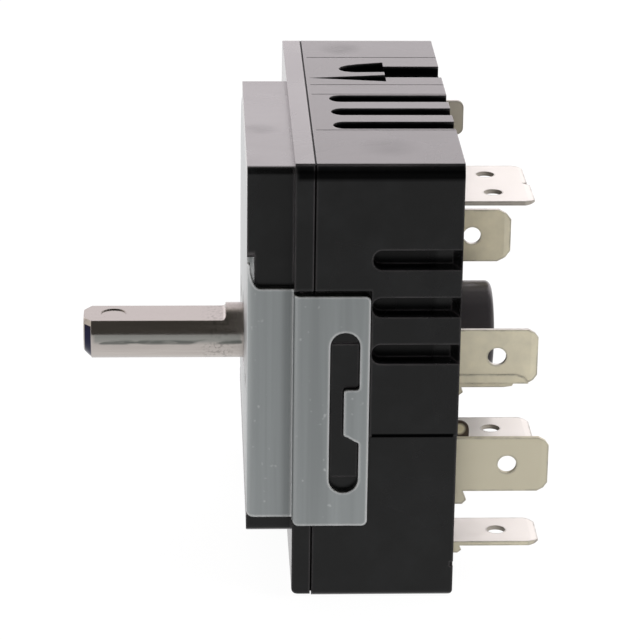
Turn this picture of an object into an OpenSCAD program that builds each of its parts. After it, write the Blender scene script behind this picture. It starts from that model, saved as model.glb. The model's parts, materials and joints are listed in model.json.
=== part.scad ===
// Rotary energy regulator for an electric range: two moulded shells, a sheet steel
// bracket, a D shaft that is pushed and turned, a spiral cam, a heated bimetal with its
// snap blade, and push-on terminals.
// Millimetres. The origin is where the shaft's axis meets the bracket's front face.
// -X points out along the shaft, +X to the terminals, -Y is the near side, +Z is up.

/* [Housing] */
// Width of the housing, across Y
body_w = 50; // [48:0.5:56]
// Height of the housing, along Z
body_h = 50; // [48.5:0.5:54]
// Shaft axis under the middle of the housing
axis_low = 2.8; // [2:0.1:3.4]
// Depth of the raised front of the cover
plateau_d = 4.95; // [4:0.05:6]
// Thickness of the cover's flange
flange_d = 2.2; // [1.6:0.1:3]
// Depth of the base tub, seam to back face
base_d = 15.5; // [15:0.1:18]
// Wall of both shells
wall = 1.6; // [1.2:0.1:1.8]
// Thickness of the base's back wall
floor_t = 1.8; // [1.5:0.1:2]
// Radius of the housing's upper long edges
edge_r_top = 1.1; // [0.5:0.1:1.5]
// Radius of the housing's far upper edge
edge_r_far = 1.9; // [1:0.1:2.4]
// Radius of the housing's lower long edges
edge_r_bottom = 0.8; // [0.3:0.1:1.5]
// Width of the groove at the seam
seam_w = 0.16; // [0.05:0.01:0.2]
// Depth of the groove at the seam
seam_depth = 0.25; // [0.1:0.05:0.4]
// Step from the base's bottom up to the cover's
cover_lift = 0.3; // [0.1:0.05:0.5]
// Side face of the housing to the raised front
plateau_in = 3.2; // [3:0.1:4]
// Top of the raised front under the housing's top
plateau_drop = 1.35; // [1:0.05:2]
// Shaft axis to the bottom of the raised front
plateau_bottom = 15.4; // [14.5:0.1:17]
// Shaft axis to the far side of the raised front's upper part
plateau_far = 11.4; // [10:0.1:16]
// Shaft axis to the foot of the raised front's upper part
plateau_step_z = 15.3; // [15:0.1:16]
// Corner radius of the raised front
plateau_r = 0.8; // [0.4:0.1:1.5]

/* [Rear boss] */
// Radius of the boss round the shaft's inner end
boss_r = 5.6; // [5.5:0.1:6.2]
// Height of the boss over the back face
boss_len = 5.75; // [5:0.05:7]
// Rounding of the boss's outer edge
boss_round = 0.7; // [0.5:0.1:1.5]
// Radius of the spring chamber in the boss
chamber_r = 4.3; // [3.8:0.1:4.4]
// Thickness of the boss's end wall
boss_end_t = 1.2; // [1:0.1:1.6]
// Width of the low platform round the boss
platform_w = 17; // [13:0.5:18]
// Height of the low platform over the back face
platform_t = 0.35; // [0.2:0.05:0.6]

/* [Slots and recesses] */
// Width of each of the top slots
top_slot_w = 2.6; // [1.6:0.1:3]
// Pitch of the top slots
top_slot_pitch = 5.05; // [4.5:0.05:5.5]
// Place of the middle top slot, from the shaft's axis towards the near side
top_slot_mid = 5.9; // [5:0.05:7]
// Front ends of the top slots, behind the seam
top_slot_inset = 2.3; // [1.5:0.1:4]
// Height of each near side slot
side_slot_h = 2.2; // [1.6:0.1:2.6]
// Pitch of the near side slots
side_slot_pitch = 5.3; // [5:0.1:6]
// Height of the middle near side slot over the shaft's axis
side_slot_mid = 12; // [11:0.1:12.5]
// Length of the near side slots
side_slot_len = 9.4; // [6:0.1:9.6]
// Length of each slot's sloped end
side_slot_ramp = 0.8; // [0.4:0.1:1.2]
// Depth of the latch recess in the top
latch_depth = 1.1; // [0.6:0.1:1.1]
// Latch recess to the shaft's axis, across
latch_y = 7.65; // [7:0.05:9]
// Length of the latch recess's open channel
latch_channel = 6.4; // [5:0.1:8]
// Shaft axis to the low edge of the side's raised field, downwards
side_step_z = 2.75; // [2:0.05:5]
// Depth of the hairlines moulded in the top and the side
line_depth = 0.15; // [0.1:0.05:0.25]
// Width of the hairlines
line_w = 0.16; // [0.1:0.02:0.3]
// Shaft axis to the parting line in the top
parting_y = 15.95; // [15:0.05:17]
// Pitch of the hairlines
line_pitch = 3.77; // [3:0.01:4]

/* [Bracket] */
// Thickness of the bracket's sheet
sheet_t = 0.8; // [0.6:0.05:1]
// Shaft axis to the arms' upper and lower edges
arm_half = 13.25; // [12.8:0.05:14]
// Arms' ends, behind the bracket's front face
arm_reach = 13.05; // [12.6:0.05:14]
// Corner radius of the arms' ends
arm_corner_r = 0.6; // [0.3:0.05:1.2]
// Clearance over the arms in the housing
arm_clear = 0.4; // [0.1:0.05:0.6]
// Width of the concave corner between the arms' upper edges and the front bend
arm_web_w = 1.1; // [0.6:0.1:1.6]
// Height of that corner
arm_web_h = 2.6; // [1:0.1:3]
// Outside bend radius of the sheet
bend_r = 1; // [0.8:0.05:1.2]
// Front plate's top under the top of the raised front
plate_drop = 3.15; // [2:0.05:5]
// Corner radius of the front plate's top
plate_top_r = 8; // [4:0.1:8.4]
// Clear hole in the bracket round the shaft, radius
plate_hole_r = 4.6; // [4:0.1:5.5]
// Distance between the two tapped holes
screw_pitch = 28; // [26:0.5:28]
// Wall radius of each tapped hole, M4
tap_r = 1.65; // [1.5:0.05:1.8]
// Outside radius of the tapped holes' collars
collar_r = 2.3; // [2.1:0.05:2.4]
// Length of the tapped holes, sheet and collar
tap_len = 2.4; // [1.6:0.1:3]
// Width of the slot in each arm
arm_slot_w = 3.2; // [2.8:0.1:3.6]
// Middle of the arm's slot, in front of the arm's end
arm_slot_in = 2.63; // [2.4:0.01:3]
// Shaft axis to the arm slot's ends
arm_slot_half = 9.25; // [8.5:0.05:10]
// Height of the tongue in the arm's slot
tongue_h = 5.42; // [5:0.02:7]
// Slot's and tongue's middle under the shaft's axis
slot_low = 0.1; // [0:0.02:1]
// Slope of the tongue's lower end
tongue_slope = 0.6; // [0:0.1:1.2]
// Corner radius of the tongue and of the slot beside it
tongue_r = 0.35; // [0.2:0.05:0.6]
// Depth of the tongue's reach into the slot
tongue_w = 1.65; // [1:0.05:2]
// Height of the pad on the base in the arm's slot
slot_pad_h = 0.3; // [0.2:0.05:0.8]
// Length of the pad in the arm's slot, both ways from the tongue's middle
slot_pad_reach = 7.7; // [6:0.1:8.4]

/* [Shaft] */
// Radius of the shaft
shaft_r = 3.175; // [3.1:0.005:3.2]
// Shaft axis to its flat
flat_h = 2.03; // [1.5:0.01:2.3]
// Length of the shaft in front of the bracket
shaft_out = 18.2; // [12:0.1:30]
// Chamfer at the shaft's tip
tip_chamfer = 0.9; // [0.4:0.1:1.2]
// Round part in front of the bracket
round_out = 2; // [1.6:0.1:3]
// Radius at the inner end of the flat
runout_r = 0.5; // [0.3:0.1:1.6]
// Radius of the round dimple on the flat
mark_r = 1.45; // [1:0.05:2.2]
// Distance of the dimple from the shaft's tip
mark_in = 3.4; // [2.8:0.1:6]
// Depth of the dimple
mark_depth = 0.12; // [0.05:0.01:0.3]
// Radial running clearance of the shaft
shaft_clear = 0.05; // [0.02:0.01:0.08]
// Travel of the push before the turn
push_travel = 2.2; // [1.5:0.1:2.4]
// Radius of the shaft's inner pin
pin_r = 1.9; // [1.5:0.1:2]
// Outside radius of the retaining clip
clip_r = 4.5; // [4.2:0.1:4.8]
// Thickness of the retaining clip
clip_t = 0.6; // [0.5:0.05:0.7]

/* [Push spring] */
// Wire radius of the push spring
wire_r = 0.32; // [0.25:0.01:0.4]
// Middle radius of the spring's turns
coil_r = 2.65; // [2.4:0.05:2.7]
// Turns of the push spring
coil_turns = 6; // [4:1:7]

/* [Cam] */
// Radius of the control track at OFF
track_r = 7.5; // [7:0.1:8]
// Rise of the control track over the sweep
track_lift = 1.5; // [1:0.1:1.6]
// Radius of the second circuit's track at OFF
zone_r = 6.5; // [6.2:0.1:6.8]
// Rise of the second circuit's track over the sweep
zone_lift = 1; // [0.6:0.1:1]
// Sweep of the cam between its stops, degrees
sweep = 270; // [240:5:280]
// Thickness of each cam track
track_t = 2.2; // [1.8:0.1:2.4]
// Radius of the cam's hub
hub_r = 4.9; // [4.7:0.1:5.4]
// Clearance between the cam and what it moves
cam_gap = 0.15; // [0.1:0.01:0.25]
// Reach of the cam's lug over its hub
lug_reach = 2.6; // [2:0.1:3]
// Half of the angle the lug takes, degrees
lug_half = 10; // [6:1:14]

/* [Switch gear] */
// Lever's pivot to the far side face
pivot_in = 9; // [8.5:0.1:9.5]
// Shaft axis to the lever's pivot, up
pivot_z = 11.5; // [11:0.1:12.5]
// Radius of the pivot pin
pivot_r = 1; // [0.8:0.05:1.2]
// Radius of the lever's and post's eyes
eye_r = 2.4; // [2.1:0.1:2.5]
// Radius of the noses that ride on the cam
nose_r = 1.2; // [1:0.1:1.4]
// Height of the lever's bar
lever_h = 2.4; // [2:0.1:2.6]
// Thickness of the bimetal
bimetal_t = 0.6; // [0.4:0.05:0.8]
// Thickness of the spring blades
blade_t = 0.3; // [0.25:0.05:0.4]
// Radius of the contact rivets
contact_r = 1.4; // [1:0.1:1.6]
// Height of a contact rivet
contact_h = 0.6; // [0.4:0.05:0.7]
// Open gap of the snap contacts
snap_gap = 0.65; // [0.5:0.05:0.8]
// Open gap of the second circuit's contacts
zone_gap = 0.8; // [0.78:0.02:1]
// Length of the push pin
push_pin_len = 1.35; // [1:0.05:1.8]
// Bimetal's height over the lever's bar
bimetal_up = 1.6; // [1.5:0.05:2.4]
// Depth of the second circuit's blade top under the shaft's axis
zone_z = 11; // [10.8:0.05:11.2]

/* [Terminals] */
// Width of a push-on tab
tab_w = 6.3; // [4.8:0.1:6.5]
// Thickness of a push-on tab
tab_t = 0.5; // [0.4:0.05:0.9]
// Chamfer of a push-on tab's corners
tab_c = 0.95; // [0.6:0.05:1.4]
// Chamfer of the upper tab's corners
upper_c = 1.25; // [0.6:0.05:1.5]
// Radius of the hole in a tab
tab_hole_r = 1.03; // [0.7:0.01:1.2]
// Hole to the tab's end
tab_hole_in = 4.5; // [3.5:0.1:5]
// Clearance round a terminal in its slot
slot_clear = 0.05; // [0.02:0.01:0.1]
// Reach of the lower tab behind the back face
reach_lower = 10.35; // [9:0.05:12]
// Reach of the middle tab behind the back face
reach_middle = 9.5; // [9:0.05:12]
// Reach of the upper tab behind the back face
reach_upper = 8.4; // [7.5:0.05:12]
// Reach of the double tab behind the back face
reach_double = 9.95; // [9:0.05:12]
// Reach of the bottom tab behind the back face
reach_bottom = 10; // [9:0.05:12]
// Reach of the inner tab behind the back face
reach_inner = 9.3; // [8.5:0.05:12]
// Reach of the far tail behind the back face
reach_tail = 3.5; // [2.5:0.05:5]

/* [Hidden] */
$fn = 48;
eps = 0.01;
over = 1;
tin = [0.83, 0.8, 0.74];

near_y = -body_w / 2;
far_y = body_w / 2;
low_z = axis_low - body_h / 2;
high_z = axis_low + body_h / 2;
flange_x = plateau_d;
seam_x = flange_x + flange_d;
back_x = seam_x + base_d;
floor_x = back_x - floor_t;
boss_x = back_x + boss_len;

// The sides are sunk by the sheet's thickness where the arms lie on them
near_in = near_y + sheet_t;
far_in = far_y - sheet_t;
cav_y0 = near_in + wall;
cav_y1 = far_in - wall;
cav_z0 = low_z + wall;
cav_z1 = high_z - wall;

plate_back = sheet_t;
front_in = plate_back + wall;
plat_y = body_w / 2 - plateau_in;
arm_out = plat_y + sheet_t;
field_x = arm_reach + 0.1;
field_top = arm_half + arm_clear;
arm_slot_x = arm_reach - arm_slot_in;
plateau_top = high_z - plateau_drop;
plate_top = plateau_top - plate_drop;

// Stations along the shaft, front to back
clip_x = front_in + 0.1;
hub_x0 = clip_x + clip_t + push_travel + 0.4;
track_x0 = seam_x + 0.75;
track_x1 = track_x0 + track_t;
gear_x0 = track_x1 + 0.7;
gear_w = 3.4;
gear_x1 = gear_x0 + gear_w;
hub_x1 = gear_x1 + 0.8;
tube_x = hub_x1 + 0.3;
guide_x = tube_x + 1.8;
shoulder_x = guide_x + 0.8;
chamber_x = boss_x - boss_end_t;
pin_x = chamber_x - push_travel - 0.6;
tail_x = gear_x1 + 1.2;
stop_a0 = 95 + lug_half + sweep - 360;
stop_a1 = 85 - lug_half;

pivot_y = far_y - pivot_in;
lever_x0 = track_x0 - 0.3;
lever_x1 = track_x1 + 0.3;
lever_z0 = pivot_z - lever_h / 2;
lever_z1 = pivot_z + lever_h / 2;
nose_z = track_r + cam_gap + nose_r;
bimetal_z = lever_z1 + bimetal_up;
bimetal_y0 = 1;
bimetal_y1 = pivot_y - 2;
screw_y = pivot_y - 10;
screw_r = 0.98;
pin_top_gap = track_lift + 0.25;
snap_z = bimetal_z + bimetal_t + push_pin_len + pin_top_gap;

snap_x = (gear_x0 + gear_x1) / 2;
snap_tip_y = -0.9;
snap_contact_y = 1;
snap_top = snap_z + blade_t;
double_z = high_z - 11.17;
double_y0 = -4.25;
riser_half = contact_r + 0.55;
foot_half = contact_r + 0.6;
foot_rim = 1.2;
root_reach = 1.35;
root_drop = 1.1;
ear_r = 1.05;
ear_h = 1.4;
far_step = 0.3;
screw_head_t = 1.1;
blade_cut = 0.4;
tongue_top = snap_top + contact_h + snap_gap + contact_h;
tail_y = far_y - 8.25;
snap_root_y = tail_y - tab_t / 2 - 0.3;

lower_y = near_y + 3.75;
lower_z = -7.63;
zone_root_y = lower_y + tab_t / 2 + 0.3;
zone_nose_z = -(zone_r + cam_gap + nose_r);
zone_tip_y = 2;
zone_contact_y = -5;
zone_under = -zone_z - blade_t;
zone_fixed_z = zone_under - contact_h - zone_gap;

middle_y = near_y + 9.75;
middle_z = 2.65;
upper_y = 5.75;
upper_z = double_z - 7.2;
inner_z = -7.2;
inner_y = near_y + 12.1;
bottom_z = low_z + 4;
bottom_y = near_y + 8.95;
tail_z = high_z - 7.5;
tail_w = 4.1;
double_w = 2 * tab_w + 0.4;

// A flat outline in (Y, Z), drawn out along X from x0 to x1
module along_x(x0, x1) {
    translate([x0, 0, 0]) rotate([90, 0, 90]) linear_extrude(x1 - x0) children();
}

// A flat outline in (X, Z), drawn out along Y from y0 to y1
module along_y(y0, y1) {
    translate([0, y1, 0]) rotate([90, 0, 0]) linear_extrude(y1 - y0) children();
}

// A flat outline in (X, Y), drawn out along Z from z0 to z1
module along_z(z0, z1) {
    translate([0, 0, z0]) linear_extrude(z1 - z0) children();
}

// A box from one corner to the opposite one
module box(a, b) {
    translate(a) cube(b - a);
}

// A rectangle whose lower and upper corners have their own radius
module round_rect(a, b, r_low, r_high) {
    translate([a[0] + r_low, a[1]]) square([b[0] - a[0] - 2 * r_low, b[1] - a[1]]);
    translate([a[0] + r_high, a[1] + r_low]) square([b[0] - a[0] - 2 * r_high, b[1] - a[1] - r_low]);
    translate([a[0], a[1] + r_low]) square([b[0] - a[0], b[1] - a[1] - r_low - r_high]);
    for (x = [a[0] + r_low, b[0] - r_low]) translate([x, a[1] + r_low]) circle(r_low);
    for (x = [a[0] + r_high, b[0] - r_high]) translate([x, b[1] - r_high]) circle(r_high);
}

// A slot with round ends between two points on one row
module stadium(a, b, w) {
    translate(a) circle(w / 2);
    translate(b) circle(w / 2);
    translate([min(a[0], b[0]), min(a[1], b[1])]
        - (a[1] == b[1] ? [0, w / 2] : [w / 2, 0]))
        square(a[1] == b[1] ? [abs(b[0] - a[0]), w] : [w, abs(b[1] - a[1])]);
}

// Outline of the housing, seen along the shaft
module housing_outline(g) {
    round_rect([near_y + g, field_top], [far_y - g, high_z - g], sheet_t * 0.6, edge_r_top);
    // the lower sides stand back by the sheet's thickness
    round_rect([near_in + g, low_z + g], [far_in - g, field_top + 2 * edge_r_top], edge_r_bottom, edge_r_top);
}

// Outline of the raised field that is left on both sides behind the arms
module field_outline() {
    for (s = [[near_y, near_in + eps], [far_in - eps, far_y]])
        translate([s[0], -side_step_z]) square([s[1] - s[0], field_top + side_step_z + sheet_t]);
}

// Outline of the raised front of the cover, seen along the shaft and shrunk by g
module plateau_outline(g) {
    low = [-plat_y + g, -plateau_bottom + g];
    round_rect(low, [plat_y - g, plateau_step_z - g], plateau_r, plateau_r);
    round_rect(low, [plateau_far - g, plateau_top - g], plateau_r, plateau_r);
}

// Outline of the bracket's front plate between its arms, grown by g
module plate_outline(g) {
    y = plat_y + g;
    z0 = -arm_half - g;
    z1 = plate_top + g;
    r = plate_top_r + g;
    translate([-y, z0]) square([2 * y, z1 - r - z0]);
    translate([-y + r, z0]) square([2 * (y - r), z1 - z0]);
    for (s = [-1, 1]) translate([s * (y - r), z1 - r]) circle(r);
}

// Outline of one arm slot in (X, Z), shrunk by g, with the tongue left standing
module arm_slot_outline(g) {
    r = arm_slot_w / 2;
    x0 = arm_slot_x + r - tongue_w - g;
    x1 = arm_slot_x + r - g;
    z0 = -slot_low - tongue_h / 2 - g;
    z1 = -slot_low + tongue_h / 2 + g;
    c = tongue_r;
    difference() {
        stadium([arm_slot_x, -slot_low - arm_slot_half + r], [arm_slot_x, arm_slot_half - r - slot_low], arm_slot_w - 2 * g);
        polygon([[x0, z0 + c], [x0 + c, z0], [x1 - c, z0 - tongue_slope], [x1 + over, z0 - tongue_slope],
            [x1 + over, z1], [x0 + c, z1], [x0, z1 - c]]);
        for (z = [z0 + c, z1 - c]) translate([x0 + c, z]) circle(c);
        translate([x1, z0 - tongue_slope]) bend_cut(-1, -1, c);
        translate([x1, z1]) bend_cut(-1, 1, c);
    }
}

// Radius of a track s degrees past its OFF place
function track_radius(s, r, lift) =
    s <= sweep ? r + lift * s / sweep
    : r + lift * (1 + cos(180 * (s - sweep) / (360 - sweep))) / 2;

// Outline of a spiral track whose OFF place stands at angle a when at rest
module track_outline(r, lift, a) {
    step = 4;
    polygon([for (s = [0 : step : 360 - step])
        track_radius(s, r, lift) * [cos(a - s), sin(a - s)]]);
}

// A sector of a ring, between two angles
module sector(r0, r1, a0, a1) {
    difference() {
        intersection() {
            circle(r1);
            polygon([[0, 0], 3 * r1 * [cos(a0), sin(a0)],
                3 * r1 * [cos((a0 + a1) / 2), sin((a0 + a1) / 2)],
                3 * r1 * [cos(a1), sin(a1)]]);
        }
        circle(r0);
    }
}

// A D shaped outline: a circle with its flat upwards
module d_outline(r, flat) {
    difference() {
        circle(r);
        translate([-2 * r, flat]) square([4 * r, 2 * r]);
    }
}

// Cut for the latch in the base's top: two slim wedges that open into one channel
module latch_recess() {
    x = back_x - latch_channel;
    along_z(high_z - latch_depth, high_z + over) translate([x, latch_y]) {
        polygon([[-5.2, 3.45], [-4.9, 4.3], [-4.2, 4.95], [-3, 5.45], [eps, 6.2],
            [eps, 2.2], [-3.6, 2.1], [-4.6, 2.45], [-5.05, 2.95]]);
        polygon([[-8.8, -0.25], [eps, 1], [eps, -1.65]]);
        square([latch_channel + over, 4.5]);
    }
}

module base_housing() color([0.09, 0.09, 0.1]) {
    difference() {
        union() {
            along_x(seam_x, back_x) housing_outline(0);
            along_x(field_x, back_x) field_outline();
            along_x(floor_x, back_x + platform_t)
                round_rect([-platform_w / 2, -platform_w / 2], [platform_w / 2, platform_w / 2], 1, 1);
            rear_boss();
            slot_pad(near_in - slot_pad_h, near_in + eps);
            slot_pad(far_in - eps, far_in + slot_pad_h);
        }
        // inside of the tub
        difference() {
            box([seam_x - over, cav_y0, cav_z0], [floor_x, cav_y1, cav_z1]);
            along_x(tube_x, floor_x + over) circle(boss_r);
            along_x(gear_x1 - 0.4, floor_x + over) translate([pivot_y, pivot_z]) circle(eye_r);
        }
        // shaft guide and spring chamber
        along_x(tube_x - over, guide_x + eps) circle(shaft_r + shaft_clear);
        along_x(guide_x, chamber_x) circle(chamber_r);
        // seat of the pivot pin
        along_x(gear_x1 - over, floor_x + 1) translate([pivot_y, pivot_z]) circle(pivot_r);
        top_slots();
        side_slots();
        latch_recess();
        terminal_slots();
        base_lines();
        far_edge();
        // rounded lower back edge
        along_y(near_y - over, far_y + over) translate([back_x, low_z]) bend_cut(-1, 1, edge_r_bottom);
    }
}

// What is cut off the far upper edge of both shells
module far_edge() {
    along_x(flange_x - over, back_x + over) translate([far_y, high_z]) bend_cut(-1, -1, edge_r_far);
}

// Hairlines in the top and under the side step, and the notch in the near back edge
module base_lines() {
    for (y = [parting_y, parting_y - 3 * line_pitch, parting_y - 4 * line_pitch, parting_y - 7.6 * line_pitch])
        box([seam_x + 0.4, y - line_w / 2, high_z - line_depth], [back_x + over, y + line_w / 2, high_z + over]);
    for (s = [[near_y - over, near_in + line_depth], [far_in - line_depth, far_y + over]])
        box([field_x, s[0], -side_step_z - 2 * line_w], [back_x + over, s[1], -side_step_z]);
    box([back_x - 0.35, near_in - over, low_z + 3.6], [back_x + over, near_in + 0.5, low_z + 4.2]);
}

// Pad on a side wall that stands in the arm's slot
module slot_pad(y0, y1) {
    along_y(y0, y1) intersection() {
        arm_slot_outline(0.1);
        translate([0, -slot_pad_reach]) square([back_x, 2 * slot_pad_reach]);
    }
}

// Boss on the back, closed and rounded at its end
module rear_boss() {
    rotate([0, 90, 0]) rotate_extrude() {
        translate([0, floor_x]) square([boss_r, boss_x - boss_round - floor_x]);
        translate([0, floor_x]) square([boss_r - boss_round, boss_x - floor_x]);
        intersection() {
            translate([boss_r - boss_round, boss_x - boss_round]) circle(boss_round);
            translate([0, floor_x]) square([boss_r, boss_len + floor_t]);
        }
    }
}

// Slots in the top, open at the back
module top_slots() {
    for (i = [-1 : 1])
        along_z(cav_z1 - eps, high_z + over)
            stadium([seam_x + top_slot_inset + top_slot_w / 2, -top_slot_mid + i * top_slot_pitch],
                [back_x + 2 * over, -top_slot_mid + i * top_slot_pitch], top_slot_w);
}

// Blind slots in the near side's raised field
module side_slots() {
    x0 = back_x - 0.05 - side_slot_len;
    x1 = back_x - 0.05 - side_slot_ramp;
    depth = wall + sheet_t - 0.3;
    r = 1;
    for (i = [-1 : 1]) {
        z = side_slot_mid + i * side_slot_pitch;
        intersection() {
            along_y(near_y - over, near_y + depth) {
                translate([x0 + r, z - side_slot_h / 2]) square([side_slot_len, side_slot_h]);
                translate([x0, z - side_slot_h / 2 + r]) square([r, side_slot_h - 2 * r]);
                for (d = [-1, 1]) translate([x0 + r, z + d * (side_slot_h / 2 - r)]) circle(r);
            }
            // the end towards the back slopes out
            along_z(z - side_slot_h, z + side_slot_h)
                polygon([[x0 - over, near_y + depth], [x1, near_y + depth],
                    [x1 + side_slot_ramp, near_y], [x1 + side_slot_ramp, near_y - over], [x0 - over, near_y - over]]);
        }
    }
}

// Slots in the back wall for the terminals
module terminal_slots() {
    g = slot_clear;
    upright_slot(lower_y, lower_z, tab_w, g);
    upright_slot(middle_y, middle_z, tab_w, g);
    upright_slot(upper_y, upper_z, tab_w, g);
    upright_slot(tail_y, tail_z, tail_w, g);
    level_slot(double_z, double_y0 + double_w / 2, double_w, g);
    level_slot(inner_z, inner_y, tab_w, g);
    level_slot(bottom_z, bottom_y, tab_w, g);
}

module upright_slot(y, z, w, g) {
    box([floor_x - over, y - tab_t / 2 - g, z - w / 2 - g],
        [back_x + over, y + tab_t / 2 + g, z + w / 2 + g]);
}

module level_slot(z, y, w, g) {
    box([floor_x - over, y - w / 2 - g, z - tab_t / 2 - g],
        [back_x + over, y + w / 2 + g, z + tab_t / 2 + g]);
}

module front_cover() color([0.09, 0.09, 0.1]) {
    difference() {
        union() {
            intersection() {
                along_x(flange_x, seam_x - seam_w) housing_outline(0);
                box([flange_x - over, near_y, low_z + cover_lift], [seam_x, far_y, high_z]);
            }
            intersection() {
                along_x(seam_x - seam_w - eps, seam_x) housing_outline(seam_depth);
                box([flange_x, near_y, low_z + cover_lift + seam_depth], [seam_x, far_y, high_z]);
            }
            along_x(0, flange_x + eps) plateau_outline(0);
        }
        // rounded edges
        along_y(near_y - over, far_y + over) {
            translate([flange_x, low_z + cover_lift]) bend_cut(1, 1, edge_r_bottom);
            translate([0, -plateau_bottom]) bend_cut(1, 1, plateau_r / 2);
        }
        far_edge();
        // seat of the bracket's plate, open to both sides
        along_x(-over, plate_back) plate_outline(0.1);
        // seats of the arms where they step out in front of the flange
        for (s = [-1, 1])
            box([flange_x - eps, s < 0 ? near_y - over : plat_y, -arm_half - 0.1],
                [flange_x + sheet_t, s < 0 ? -plat_y : far_y + over, field_top]);
        // hollow behind the raised front
        difference() {
            along_x(front_in, seam_x + over) plateau_outline(wall);
            // walls round the screw pockets
            for (s = [-1, 1])
                along_x(0, tap_len + 1.2)
                    translate([s * screw_pitch / 2, 0]) circle(collar_r + 1.2);
            // ring that the retaining clip moves in
            along_x(0, hub_x0 - 0.3) difference() {
                circle(clip_r + 1.7);
                circle(clip_r + 0.25);
            }
            // end stop of the cam
            along_x(0, track_x0 - 0.5) sector(hub_r + 0.4, hub_r + 3, stop_a0, stop_a1);
        }
        along_x(-over, seam_x) circle(shaft_r + shaft_clear);
        for (s = [-1, 1])
            along_x(-over, tap_len + 0.3)
                translate([s * screw_pitch / 2, 0]) circle(collar_r + 0.15);
    }
}

// Section of the bracket in (X, Y): the plate and the arm on one side
module arm_section(side_y) {
    d = side_y < 0 ? -1 : 1;
    y = abs(side_y);
    difference() {
        union() {
            translate([0, d > 0 ? plat_y : -arm_out]) square([flange_x + sheet_t, sheet_t]);
            translate([flange_x, d > 0 ? plat_y : -y]) square([sheet_t, y - plat_y]);
            translate([flange_x, d > 0 ? y - sheet_t : -y]) square([arm_reach - flange_x, sheet_t]);
        }
        // outside of the front bend
        translate([0, d * arm_out]) bend_cut(1, -d, bend_r);
        // outside of the bend onto the housing's side
        translate([flange_x, d * y]) bend_cut(1, -d, sheet_t * 0.9);
    }
}

// What is cut off a square corner to round it
module bend_cut(sx, sy, r) {
    scale_to = [sx, sy];
    difference() {
        translate([sx > 0 ? -over : -r, sy > 0 ? -over : -r]) square([r + over, r + over]);
        translate([scale_to[0] * r, scale_to[1] * r]) circle(r);
    }
}

module mounting_bracket() color([0.62, 0.64, 0.64]) {
    difference() {
        union() {
            along_x(0, sheet_t) plate_outline(0);
            for (d = [-1, 1]) arm_web(d);
            for (y = [near_y, far_y])
                difference() {
                    along_z(-arm_half, arm_half) arm_section(y);
                    arm_corners(y);
                    along_y(y < 0 ? y - over : y - 2 * sheet_t, y < 0 ? y + 2 * sheet_t : y + over)
                        arm_slot_outline(0);
                }
            for (s = [-1, 1])
                along_x(0, tap_len) translate([s * screw_pitch / 2, 0]) circle(collar_r);
        }
        along_x(-over, sheet_t + over) circle(plate_hole_r);
        // rounded lower front edge
        along_y(-arm_out - over, arm_out + over) translate([0, -arm_half]) bend_cut(1, 1, sheet_t * 0.7);
        for (s = [-1, 1])
            along_x(-over, tap_len + over) translate([s * screw_pitch / 2, 0]) circle(tap_r);
    }
}

// Concave corner where an arm's upper edge runs into the front bend
module arm_web(side) {
    steps = 8;
    difference() {
        along_y(side > 0 ? plat_y : -arm_out, side > 0 ? arm_out : -plat_y)
            polygon(concat([[0, arm_half - eps], [0, arm_half + arm_web_h]],
                [for (i = [0 : steps]) [bend_r * 0.3 + arm_web_w * (1 - cos(90 * i / steps)),
                    arm_half + arm_web_h * (1 - sin(90 * i / steps))]],
                [[bend_r * 0.3 + arm_web_w, arm_half - eps]]));
        along_z(-high_z, high_z) translate([0, side * arm_out]) bend_cut(1, -side, bend_r);
    }
}

// What is cut off the free corners of an arm
module arm_corners(y) {
    r = arm_corner_r;
    along_y(y < 0 ? y - over : y - 2 * sheet_t, y < 0 ? y + 2 * sheet_t : y + over) {
        translate([arm_reach, arm_half]) bend_cut(-1, -1, r);
        translate([arm_reach, -arm_half]) bend_cut(-1, 1, r);
        translate([flange_x, -arm_half]) bend_cut(1, 1, r);
    }
}

module drive_shaft() color([0.78, 0.75, 0.71]) {
    difference() {
        union() {
            translate([-shaft_out, 0, 0]) rotate([0, 90, 0])
                cylinder(h = tip_chamfer, r1 = shaft_r - tip_chamfer, r2 = shaft_r);
            along_x(-shaft_out + tip_chamfer, shoulder_x) circle(shaft_r);
            along_x(shoulder_x - eps, pin_x) circle(pin_r);
        }
        // outer flat, with a rounded run-out
        along_y(-2 * shaft_r, 2 * shaft_r) {
            translate([-shaft_out - over, flat_h]) square([shaft_out + over - round_out - runout_r, shaft_r]);
            translate([-shaft_out - over, flat_h + runout_r]) square([shaft_out + over - round_out, shaft_r]);
            translate([-round_out - runout_r, flat_h + runout_r]) circle(runout_r);
        }
        // dimple on the flat
        along_z(flat_h - mark_depth, flat_h + over) translate([-shaft_out + mark_in, 0]) circle(mark_r);
        // inner flat that turns the cam
        along_y(-2 * shaft_r, 2 * shaft_r)
            translate([clip_x + clip_t + 0.2, flat_h]) square([shoulder_x - clip_x, shaft_r]);
        // groove of the clip
        along_x(clip_x - 0.02, clip_x + clip_t + 0.02) difference() {
            circle(shaft_r + over);
            circle(shaft_r - 0.6);
        }
    }
}

module shaft_clip() color([0.45, 0.45, 0.47]) {
    along_x(clip_x, clip_x + clip_t) difference() {
        circle(clip_r);
        circle(shaft_r - 0.58);
        translate([-shaft_r * 0.62, 0]) square([shaft_r * 1.24, 2 * clip_r]);
    }
}

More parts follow.
